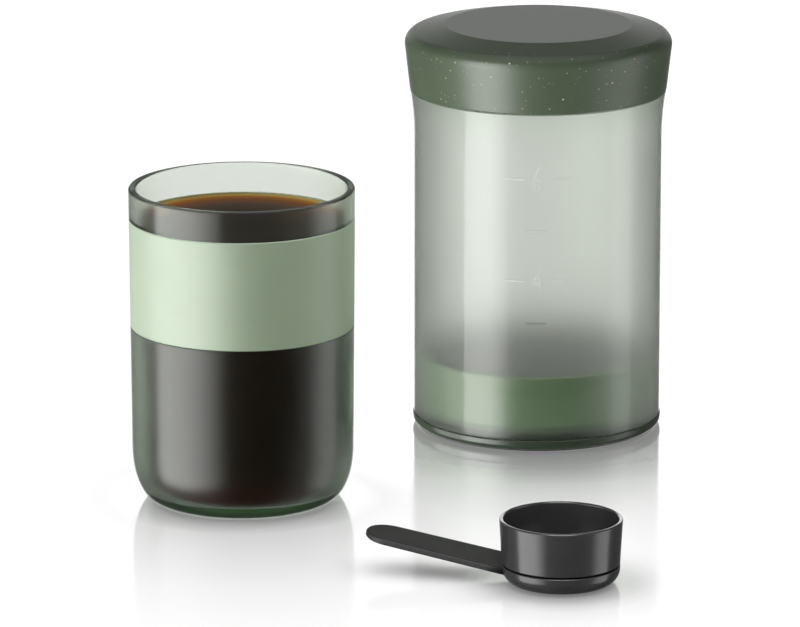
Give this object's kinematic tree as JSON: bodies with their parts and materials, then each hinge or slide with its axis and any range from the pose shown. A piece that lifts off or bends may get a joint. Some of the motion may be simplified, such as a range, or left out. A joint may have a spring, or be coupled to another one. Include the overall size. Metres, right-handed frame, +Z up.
{
  "type": "portable coffee maker",
  "caption": "Portable steep-and-release coffee maker: frosted brewing chamber with a push-fit lid and a valved filter base, a sleeved drinking cup and a dosing scoop.",
  "frame": {"origin": "on the brewer's axis, on the surface that the set stands on", "axes": "+Z up along the brewer's axis, -Y towards the viewer of the volume marks, cup to -X and scoop to -Y of the brewer"},
  "size_m": [0.189, 0.2707, 0.1452],
  "materials": {
    "lid_green": "satin, speckled",
    "moulded_green": "satin",
    "silicone_sage": "matte",
    "frosted_clear": "frosted",
    "base_green": "satin",
    "silicone_dark": "matte",
    "steel": "brushed",
    "cup_tinted": "clear, tinted",
    "sleeve_sage": "matte",
    "scoop_black": "satin"
  },
  "bodies": {
    "base": {"base_housing": "base_green", "base_seal": "silicone_dark", "foot_pad": "silicone_dark", "drain_guide": "moulded_green"},
    "chamber": {"chamber": "frosted_clear"},
    "lid": {"lid_shell": "lid_green", "lid_liner": "moulded_green", "lid_gasket": "silicone_sage"},
    "filter": {"filter_frame": "moulded_green", "filter_gasket": "silicone_sage", "filter_mesh": "steel", "filter_clamp": "moulded_green"},
    "valve": {"valve_stopper": "silicone_sage", "valve_stem": "moulded_green", "release_ring": "moulded_green", "stem_clip": "steel"},
    "cup": {"cup": "cup_tinted", "cup_sleeve": "sleeve_sage"},
    "scoop": {"scoop_bowl": "scoop_black", "scoop_handle": "scoop_black"}
  },
  "joints": [
    {"name": "chamber_lift", "type": "slide", "parent": "base", "child": "chamber", "axis": [0, 0, 1], "range_m": [0, 0.15]},
    {"name": "lid_lift", "type": "slide", "parent": "chamber", "child": "lid", "axis": [0, 0, 1], "range_m": [0, 0.12]},
    {"name": "filter_lift", "type": "slide", "parent": "base", "child": "filter", "axis": [0, 0, 1], "range_m": [0, 0.085]},
    {"name": "valve_lift", "type": "slide", "parent": "base", "child": "valve", "axis": [0, 0, 1], "range_m": [0, 0.003]},
    {"name": "cup_lift", "type": "slide", "parent": "base", "child": "cup", "axis": [0, 0, 1], "range_m": [0, 0.15]},
    {"name": "scoop_lift", "type": "slide", "parent": "base", "child": "scoop", "axis": [0, 0, 1], "range_m": [0, 0.12]}
  ]
}
